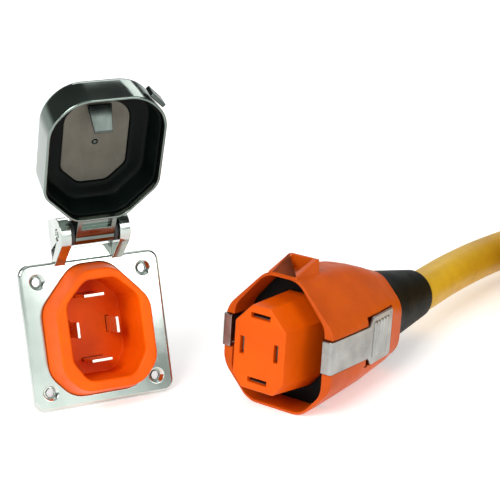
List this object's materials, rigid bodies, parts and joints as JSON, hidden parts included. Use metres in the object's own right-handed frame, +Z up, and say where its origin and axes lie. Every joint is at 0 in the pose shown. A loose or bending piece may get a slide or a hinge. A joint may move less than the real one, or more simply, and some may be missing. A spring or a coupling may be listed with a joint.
{
  "type": "shore power cord set",
  "caption": "Yellow shore power cord with a locking keyed orange connector and shore plug, and its lidded square steel inlet.",
  "frame": {"origin": "floor level, under the middle of the box around the inlet and the connector, without the cord", "axes": "+X to the right as the set is seen, towards the coil; +Y away from the viewer; +Z up"},
  "size_m": [0.745, 0.4183, 0.2018],
  "materials": {
    "stainless_steel": "polished",
    "orange_nylon": "satin moulded",
    "black_rubber": "matt",
    "black_nylon": "fine grain",
    "grey_plate": "matt",
    "contact_metal": "tin plated",
    "yellow_jacket": "satin",
    "yellow_plug": "satin moulded",
    "spring_steel": "plain"
  },
  "bodies": {
    "cord_set": {"cable_clamp_lower": "black_nylon", "cable_clamp_upper": "black_nylon", "cable_end": "yellow_jacket", "clamp_screw_left": "stainless_steel", "clamp_screw_right": "stainless_steel", "connector_shell": "orange_nylon", "contact_bottom": "contact_metal", "contact_carrier": "orange_nylon", "contact_left": "contact_metal", "contact_right": "contact_metal", "contact_top": "contact_metal", "latch_pin_left": "stainless_steel", "latch_pin_right": "stainless_steel", "latch_spring_left": "spring_steel", "latch_spring_right": "spring_steel", "nose_seal": "black_rubber", "strain_relief_boot": "black_rubber", "shore_cable": "yellow_jacket", "shore_cable_tail": "yellow_jacket", "cable_coil": "yellow_jacket", "coil_tie_1": "black_rubber", "coil_tie_2": "black_rubber", "coil_tie_3": "black_rubber", "plug_blade_line_1": "contact_metal", "plug_blade_line_2": "contact_metal", "plug_blade_neutral": "contact_metal", "plug_body": "yellow_plug", "plug_boot": "black_rubber", "plug_earth_pin": "contact_metal", "plug_face": "black_nylon"},
    "latch_left": {"latch_left": "stainless_steel"},
    "latch_right": {"latch_right": "stainless_steel"},
    "inlet": {"body_screw_1": "stainless_steel", "body_screw_2": "stainless_steel", "body_screw_3": "stainless_steel", "body_screw_4": "stainless_steel", "flange_gasket": "black_rubber", "hinge_pin": "stainless_steel", "hinge_washer_left": "black_nylon", "hinge_washer_right": "black_nylon", "inlet_blade_bottom": "contact_metal", "inlet_blade_left": "contact_metal", "inlet_blade_right": "contact_metal", "inlet_blade_top": "contact_metal", "inlet_body": "orange_nylon", "inlet_flange": "stainless_steel", "rear_gland": "black_nylon", "rear_housing": "black_nylon", "terminal_screw_bottom": "contact_metal", "terminal_screw_left": "contact_metal", "terminal_screw_right": "contact_metal", "terminal_screw_top": "contact_metal"},
    "cover": {"cover_catch": "stainless_steel", "cover_inner_plate": "grey_plate", "cover_liner": "black_rubber", "cover_plate_rivet": "stainless_steel", "cover_shell": "stainless_steel", "cover_thumb_tab": "stainless_steel"}
  },
  "joints": [
    {"name": "latch_left_pivot", "type": "hinge", "parent": "cord_set", "child": "latch_left", "pos_m": [0.01536, -0.00576, 0.0386], "axis": [-0.0599, -0.077, -0.9952], "range_deg": [0, 5.3], "stiffness_Nm_per_rad": 1.5, "springref_deg": -5.73},
    {"name": "latch_right_pivot", "type": "hinge", "parent": "cord_set", "child": "latch_right", "pos_m": [0.06997, -0.04827, 0.0386], "axis": [0.0599, 0.077, 0.9952], "range_deg": [0, 5.3], "stiffness_Nm_per_rad": 1.5, "springref_deg": -5.73},
    {"name": "inlet_lift", "type": "slide", "parent": "cord_set", "child": "inlet", "axis": [0, 0, 1], "range_m": [0, 0.3]},
    {"name": "cover_hinge", "type": "hinge", "parent": "inlet", "child": "cover", "pos_m": [-0.08676, -0.02824, 0.1051], "axis": [0.915, 0.4035, 0], "range_deg": [0, 140.5]}
  ]
}
